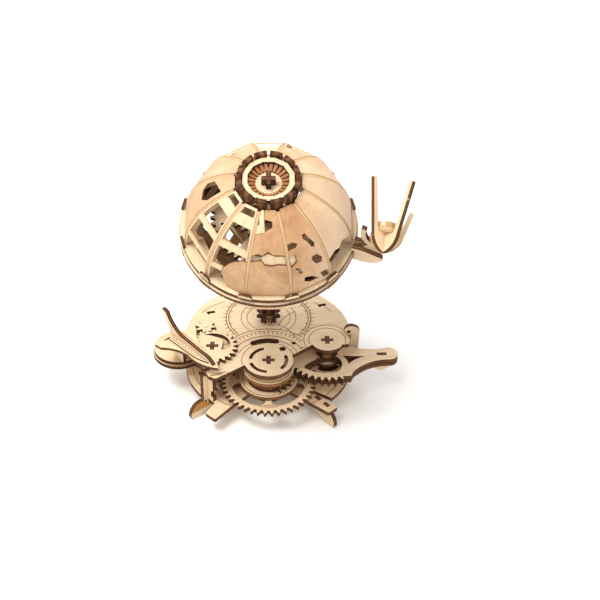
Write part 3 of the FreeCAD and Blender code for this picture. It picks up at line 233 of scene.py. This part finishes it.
def edge_wood(name, char, core, glint):
    """The laser-cut edge of a sheet: char with a lighter core ply and small uncut nicks."""
    t = Tree(name)
    sheet = t.attribute("sheet").outputs["Vector"]
    depth = t.node("ShaderNodeSeparateXYZ")
    t.feed(depth.inputs[0], sheet)
    through = depth.outputs[2]
    streaks = t.noise(t.scaled(sheet, (260.0, 260.0, 5.0)), 1.0, 3.0, 0.6)
    blotches = t.noise(t.scaled(sheet, (90.0, 90.0, 0.8)), 1.0, 2.0)
    from_middle = t.math("ABSOLUTE", t.math("SUBTRACT", through, 0.5))
    ply = t.span(from_middle, 0.10, 0.22, 1.0, 0.0)
    amount = t.math("MULTIPLY", ply, t.span(blotches, 0.35, 0.65, 0.35, 1.0))
    colour = t.mix(t.math("MULTIPLY", amount, 0.85), char, core)
    colour = t.mix(t.span(streaks, 0.55, 0.75, 0.0, 0.55), colour, core)
    nicks = t.noise(t.scaled(sheet, (520.0, 520.0, 0.4)), 1.0, 0.0)
    colour = t.mix(t.span(nicks, 0.80, 0.83, 0.0, 0.8), colour, glint)
    t.bump(streaks, 0.25, 0.0003)
    return t.finish(colour, 0.72, 0.18)


def stained_leg(name, pale, stain, deep):
    """A birch face with a varnish run on the side that faces the middle of the base."""
    t = Tree(name)
    place = t.node("ShaderNodeTexCoord").outputs["Object"]
    facing = t.node("ShaderNodeSeparateXYZ")
    t.feed(facing.inputs[0], t.node("ShaderNodeNewGeometry").outputs["Normal"])
    height = t.node("ShaderNodeSeparateXYZ")
    t.feed(height.inputs[0], place)
    mottle = t.noise(place, 120.0, 3.0)
    varnish = t.mix(t.span(mottle, 0.35, 0.7), stain, deep)
    amount = t.math("MULTIPLY", t.span(facing.outputs[0], 0.2, 0.4),
                    t.span(height.outputs[2], 4.5 * MM, 6.0 * MM))
    colour = t.mix(amount, pale, varnish)
    return t.finish(colour, 0.35, 0.4)


def card_skin(name, pale, tan, deep, painted_highlight):
    """A bent skin of stained thin ply: mottled, with faint grain, and painted paler towards the right
    as a painted highlight.
    """
    t = Tree(name)
    sheet = t.attribute("sheet").outputs["Vector"]
    place = t.node("ShaderNodeTexCoord").outputs["Object"]
    tone = t.attribute("tone").outputs["Fac"]
    mottle = t.noise(place, 55.0, 6.0, 0.68, 0.6)
    broad = t.noise(place, 19.0, 3.0, 0.6, 0.5)
    speckle = t.noise(place, 420.0, 4.0, 0.75)
    streak = t.noise(t.scaled(sheet, (60.0, 900.0, 1.0)), 1.0, 3.0, 0.6)
    colour = t.mix(t.span(broad, 0.36, 0.64), pale, tan)
    colour = t.mix(t.span(mottle, 0.50, 0.74, 0.0, 0.62), colour, deep)
    colour = t.mix(t.span(mottle, 0.30, 0.46, 0.55, 0.0), colour, pale)
    colour = t.mix(t.span(speckle, 0.50, 0.78, 0.0, 0.5), colour, deep)
    colour = t.mix(t.span(streak, 0.52, 0.74, 0.0, 0.24), colour, deep)
    colour = t.mix(t.span(tone, 0.0, 1.0, 0.0, 0.2), colour, tan)
    parts = t.node("ShaderNodeSeparateXYZ")
    t.feed(parts.inputs[0], place)
    # painted highlight: the card turns paler towards the right (+x), where the globe is more lit
    colour = t.mix(t.span(parts.outputs[0], 0.012, 0.036, 0.0, 0.50), colour, painted_highlight)
    t.bump(speckle, 0.1, 0.0002)
    return t.finish(colour, t.span(mottle, 0.3, 0.7, 0.55, 0.7), 0.25)


def engraved(name, dark, pale):
    """A shallow line that the laser has only scorched."""
    t = Tree(name)
    place = t.node("ShaderNodeTexCoord").outputs["Object"]
    colour = t.mix(t.span(t.noise(place, 700.0, 2.0), 0.35, 0.65), dark, pale)
    return t.finish(colour, 0.75, 0.15)


BIRCH = face_wood("birch_face", rgb(233, 210, 176), rgb(215, 186, 147), rgb(166, 128, 90))
BURNT = edge_wood("burnt_edge", rgb(62, 36, 20), rgb(134, 88, 54), rgb(214, 174, 126))
HUB_EDGE = edge_wood("hub_edge", rgb(98, 60, 34), rgb(168, 116, 72), rgb(224, 184, 136))
LIGHT_EDGE = edge_wood("light_edge", rgb(186, 148, 108), rgb(216, 184, 142), rgb(232, 206, 168))
BROWN_FACE = face_wood("brown_face", rgb(178, 118, 68), rgb(146, 90, 48), rgb(92, 50, 24))
BROWN_EDGE = edge_wood("brown_edge", rgb(78, 42, 20), rgb(148, 92, 52), rgb(206, 160, 108))
DARK_FACE = face_wood("dark_face", rgb(96, 56, 32), rgb(76, 40, 22), rgb(44, 20, 10))
CARD = card_skin("card_skin", rgb(222, 194, 160), rgb(202, 162, 122), rgb(164, 118, 80),
                 rgb(236, 212, 184))
# a darker, tanner copy of the card skin for the front gores: painted shade on the lower front of the
# globe
CARD_SHADED_FRONT = card_skin("card_skin_front_painted_shade", rgb(208, 170, 130),
                       rgb(186, 140, 98), rgb(144, 98, 62), rgb(236, 214, 188))
CARD_EDGE = edge_wood("card_edge", rgb(84, 48, 26), rgb(128, 84, 50), rgb(208, 164, 112))
STAINED = stained_leg("stained_leg", rgb(222, 196, 158), rgb(196, 132, 44), rgb(150, 88, 22))
BURN_LINE = engraved("engraved_line", rgb(104, 66, 36), rgb(140, 96, 60))


# ---- which polygons are sheet faces and which are cut edges -------------------------------------
def mesh_arrays(mesh):
    points = np.zeros(len(mesh.vertices) * 3)
    mesh.vertices.foreach_get("co", points)
    points = points.reshape(-1, 3)
    corners = np.zeros(len(mesh.loops), int)
    mesh.loops.foreach_get("vertex_index", corners)
    starts = np.zeros(len(mesh.polygons), int)
    mesh.polygons.foreach_get("loop_start", starts)
    totals = np.zeros(len(mesh.polygons), int)
    mesh.polygons.foreach_get("loop_total", totals)
    normals = np.zeros(len(mesh.polygons) * 3)
    mesh.polygons.foreach_get("normal", normals)
    areas = np.zeros(len(mesh.polygons))
    mesh.polygons.foreach_get("area", areas)
    owner = np.repeat(np.arange(len(starts)), totals)
    return points, corners, owner, normals.reshape(-1, 3), areas


def solid_numbers(points, corners, owner, count):
    """The number of the closed solid that each polygon belongs to."""
    keys = np.round(points * 1e6).astype(np.int64)
    _, spot = np.unique(keys, axis=0, return_inverse=True)
    spot = spot.reshape(-1)[corners]
    label = np.arange(spot.max() + 1)
    while True:
        lowest = np.full(count, label.max() + 1)
        np.minimum.at(lowest, owner, label[spot])
        fresh = label.copy()
        np.minimum.at(fresh, spot, lowest[owner])
        fresh = fresh[fresh]
        if (fresh == label).all():
            break
        label = fresh
    lowest = np.full(count, label.max() + 1)
    np.minimum.at(lowest, owner, label[spot])
    return np.unique(lowest, return_inverse=True)[1].reshape(-1)


def sheet_normal(normals, areas):
    """The direction that most of a flat sheet's surface faces."""
    largest = np.argsort(-areas)[:24]
    return normals[max(largest, key=lambda k: areas[np.abs(normals @ normals[k]) > 0.999].sum())]


def in_plane_axes(points, normal):
    """The sheet's long direction, and the one across it."""
    flat = points - points.mean(axis=0)
    flat = flat - np.outer(flat @ normal, normal)
    _, vectors = np.linalg.eigh(flat.T @ flat)
    along = vectors[:, 2]
    return along, np.cross(normal, along)


def dress(name, face, edge, bent=False):
    """Give a CAD node its two materials, and its mesh the values that they read."""
    mesh = NODES[name].data
    points, corners, owner, normals, areas = mesh_arrays(mesh)
    count = len(areas)
    numbers = solid_numbers(points, corners, owner, count)
    sheet = np.zeros((len(corners), 3), np.float32)
    tone = np.zeros(len(corners), np.float32)
    is_edge = np.zeros(count, np.int32)
    centre = np.array(CENTRE)
    for number in range(numbers.max() + 1):
        polygons = np.flatnonzero(numbers == number)
        loops = np.flatnonzero(numbers[owner] == number)
        spots = points[corners[loops]]
        if bent:
            outward = spots - centre
            height = np.linalg.norm(outward, axis=1)
            outward = outward / height[:, None]
            along, across = np.array(AXIS), np.cross(np.array(AXIS), spots.mean(axis=0) - centre)
            across /= np.linalg.norm(across)
            owners = owner[loops]
            slot = np.searchsorted(polygons, owners)
            facing = np.zeros((len(polygons), 3))
            np.add.at(facing, slot, outward)
            facing /= np.linalg.norm(facing, axis=1)[:, None]
            flatness = np.abs((facing * normals[polygons]).sum(axis=1))
            is_edge[polygons] = flatness < 0.7
        else:
            normal = sheet_normal(normals[polygons], areas[polygons])
            height = spots @ normal
            along, across = in_plane_axes(spots, normal)
            is_edge[polygons] = np.abs(normals[polygons] @ normal) < 0.9
        thick = max(height.max() - height.min(), 1e-6)
        offset = (number * GOLDEN + len(name) * 0.37) % 1.0
        sheet[loops, 0] = spots @ along + offset
        sheet[loops, 1] = spots @ across + offset * 3.0
        sheet[loops, 2] = (height - height.min()) / thick
        tone[loops] = offset
    mesh.attributes.new("sheet", "FLOAT_VECTOR", "CORNER").data.foreach_set("vector", sheet.reshape(-1))
    mesh.attributes.new("tone", "FLOAT", "CORNER").data.foreach_set("value", tone)
    mesh.materials.clear()
    mesh.materials.append(face)
    mesh.materials.append(edge)
    mesh.polygons.foreach_set("material_index", is_edge)
    mesh.update()


BENT = {"south_gores", "north_gores_front", "north_gores_back", "north_lattice"}
SPECIAL = {
    "south_gores": (CARD, CARD_EDGE), "north_gores_front": (CARD_SHADED_FRONT, CARD_EDGE),
    "north_gores_back": (CARD, CARD_EDGE), "north_lattice": (BIRCH, LIGHT_EDGE),
    "north_cap_arcs": (BROWN_FACE, BURNT), "north_cap_slats": (BROWN_FACE, BROWN_EDGE),
    "globe_axle": (DARK_FACE, BURNT), "north_ribs": (BIRCH, LIGHT_EDGE),
    "south_ribs": (BIRCH, LIGHT_EDGE), "drive_disc": (BIRCH, HUB_EDGE),
    "leg_front_left": (STAINED, BURNT),
    "hub_cap_disc": (BIRCH, HUB_EDGE), "satellite_skin": (BIRCH, LIGHT_EDGE),
}


def dress_frame():
    for name in sorted(NODES):
        face, edge = SPECIAL.get(name, (BIRCH, BURNT))
        dress(name, face, edge, name in BENT)


# ---- lines scorched into the sheets, in millimetres from the middle of the dial plate -----------
POINT_GAP = 0.9
STRIP_TOP, STRIP_FOOT = 0.05 * MM, 0.01 * MM      # heights of a strip over its sheet
SAME_FACE = 0.03 * MM                             # a hit nearer than this is on the sheet's top
FOOT_RINGS = (28.6, 30.4)
FOOT_CIRCLES = (19.7, 15.5)
HUB_BAND = (26.0, 33.8)
BOSS_CIRCLES = (12.9, 16.4)
CLEAR_OF_HUB = 34.4
CLEAR_OF_BOSS = 17.4


def circle(centre, radius, start=0.0, end=360.0):
    """Points about a millimetre apart on an arc."""
    count = max(6, int(abs(math.radians(end - start)) * radius / POINT_GAP))
    turns = [math.radians(start + (end - start) * k / count) for k in range(count + 1)]
    return [(centre[0] + radius * math.cos(a), centre[1] + radius * math.sin(a)) for a in turns]


def line(start, end):
    """Points about a millimetre apart on a straight line."""
    count = max(2, int(math.dist(start, end) / POINT_GAP))
    return [(start[0] + (end[0] - start[0]) * k / count,
             start[1] + (end[1] - start[1]) * k / count) for k in range(count + 1)]


def ticks(centre, inner, outer, step, first=0.0, last=360.0):
    """Short lines that point at the centre, one every step degrees."""
    paths = []
    angle = first
    while angle < last - 1e-6:
        a = math.radians(angle)
        paths.append(line((centre[0] + inner * math.cos(a), centre[1] + inner * math.sin(a)),
                          (centre[0] + outer * math.cos(a), centre[1] + outer * math.sin(a))))
        angle += step
    return paths


def from_disc(place):
    """A place of the frame, in millimetres from the middle of the dial plate."""
    return ((place.x - DISC.x) / MM, (place.y - DISC.y) / MM)


class Scorch:
    """Thin closed strips on the top face of one sheet, left out wherever the sheet is cut away."""

    def __init__(self, name, body, top=None):
        mesh = NODES[name].data
        self.tree = BVHTree.FromPolygons([v.co for v in mesh.vertices],
                                         [p.vertices for p in mesh.polygons])
        self.name, self.body = name, body
        self.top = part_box(name)[1].z if top is None else top
        self.points, self.faces = [], []

    def on_sheet(self, spot):
        hit = self.tree.ray_cast(Vector((spot[0], spot[1], self.top + 1.0 * MM)),
                                 Vector((0.0, 0.0, -1.0)), 2.0 * MM)
        return hit[0] is not None and abs(hit[0].z - self.top) < SAME_FACE

    def strip(self, run):
        """Close a run of left and right points into a flat bar with four sides and two ends."""
        base = len(self.points)
        for left, right in run:
            for spot in (left, right):
                self.points.append((spot[0], spot[1], self.top + STRIP_TOP))
                self.points.append((spot[0], spot[1], self.top + STRIP_FOOT))
        for k in range(len(run) - 1):
            a = base + 4 * k
            self.faces += [(a, a + 4, a + 6, a + 2), (a + 1, a + 3, a + 7, a + 5),
                           (a, a + 1, a + 5, a + 4), (a + 2, a + 6, a + 7, a + 3)]
        end = base + 4 * (len(run) - 1)
        self.faces += [(base, base + 2, base + 3, base + 1), (end, end + 1, end + 3, end + 2)]

    def draw(self, path, width=0.38, clear_of=((0.0, 0.0), 0.0)):
        """Draw a path, except within the second number's distance of clear_of's place."""
        spots = [Vector((DISC.x + x * MM, DISC.y + y * MM)) for x, y in path]
        run = []
        for k, spot in enumerate(spots):
            ahead = spots[min(k + 1, len(spots) - 1)] - spots[max(k - 1, 0)]
            side = Vector((-ahead.y, ahead.x)).normalized() * width * 0.5 * MM
            pair = (spot + side, spot - side)
            hidden = math.dist(path[k], clear_of[0]) < clear_of[1]
            if not hidden and self.on_sheet(pair[0] + side) and self.on_sheet(pair[1] - side):
                run.append(pair)
                continue
            if len(run) > 1:
                self.strip(run)
            run = []
        if len(run) > 1:
            self.strip(run)

    def place(self):
        mesh = bpy.data.meshes.new("lines_" + self.name)
        mesh.from_pydata(self.points, [], self.faces)
        mesh.materials.append(BURN_LINE)
        lines = bpy.data.objects.new("lines_" + self.name, mesh)
        bpy.context.scene.collection.objects.link(lines)
        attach(lines, self.body)


def dial_lines():
    foot, hub, boss = [from_disc(place) for place in (FOOT, HUB, BOSS)]
    near_hub, near_boss = (hub, CLEAR_OF_HUB), (boss, CLEAR_OF_BOSS)
    plate = Scorch("dial_plate", "base")
    for radius in FOOT_RINGS:
        plate.draw(circle(foot, radius), 0.75, near_hub)
    for tick in ticks(foot, 26.6, 28.2, 15.0) + ticks(foot, 30.8, 33.0, 7.5):
        plate.draw(tick, 0.55, near_hub)
    for radius in FOOT_CIRCLES:
        plate.draw(circle(foot, radius), 0.45, near_hub)
    for radius in HUB_BAND:
        plate.draw(circle(hub, radius, 28.0, 152.0), 0.7, near_boss)
    for tick in ticks(hub, 28.4, 30.8, 6.0, 36.0, 145.0):
        plate.draw(tick, 0.6, near_boss)
    plate.draw(circle(hub, 31.4, 36.0, 145.0), 0.4, near_boss)
    plate.draw(circle(hub, 18.4), 0.5)
    plate.draw(circle(hub, 21.6, 20.0, 160.0), 0.5)
    for radius in BOSS_CIRCLES:
        plate.draw(circle(boss, radius), 0.5)
    plate.draw(circle((24.0, -17.0), 1.6), 0.6)
    # two arcs that meet as a lens beside the foot, and one towards each far cut-out
    plate.draw(circle((foot[0] + 31.0, foot[1] - 14.0), 24.0, 118.0, 172.0), 0.5)
    plate.draw(circle((foot[0] - 4.0, foot[1] - 30.0), 24.0, 18.0, 64.0), 0.5)
    plate.draw(circle((-22.0, 8.0), 30.0, 108.0, 150.0), 0.5)
    plate.draw(circle((16.0, 4.0), 36.0, 36.0, 62.0), 0.5)
    for gap in (0.0, 2.4):
        plate.draw(line((-44.0 + gap, -47.0), (-29.0 + gap, -41.0)), 0.5)
    plate.place()


def ring_lines(name, body, centre, radii, width=0.5, top=None):
    """Circles on one sheet; nothing is made where none of them lies on it."""
    sheet = Scorch(name, body, top)
    for radius in radii:
        sheet.draw(circle(centre, radius), width)
    if sheet.points:
        sheet.place()


def shuttle_lines():
    """Two long lines and a row of short ones on the shuttle's deck."""
    wing = Scorch("shuttle_wing", "shuttle")
    points = mesh_arrays(NODES["shuttle_wing"].data)[0]
    along, across = in_plane_axes(points, np.array((0.0, 0.0, 1.0)))
    middle = from_disc(Vector(points.mean(axis=0)))

    def at(ahead, aside):
        return (middle[0] + along[0] * ahead + across[0] * aside,
                middle[1] + along[1] * ahead + across[1] * aside)

    for aside in (-4.6, 4.6):
        wing.draw(line(at(-26.0, aside), at(26.0, aside)), 0.4)
        for step in range(-6, 7):
            wing.draw(line(at(3.2 * step, aside * 0.62), at(3.2 * step + 1.8, aside * 0.62)), 0.55)
    if wing.points:
        wing.place()


def moving_lines():
    hub = from_disc(HUB)
    ring_lines("drive_gear", "hub", hub, (26.4, 24.8))
    ring_lines("drive_disc", "hub", hub, (18.4,))
    ring_lines("hub_cap_disc", "hub", hub, (15.9, 7.0))
    ring_lines("lower_plate", "base", (0.0, 0.0), (54.6,), top=LOWER_TOP)
    shuttle_lines()


# ---- the scene --------------------------------------------------------------------------------
make_camera()
make_studio()
dress_frame()
dial_lines()
moving_lines()
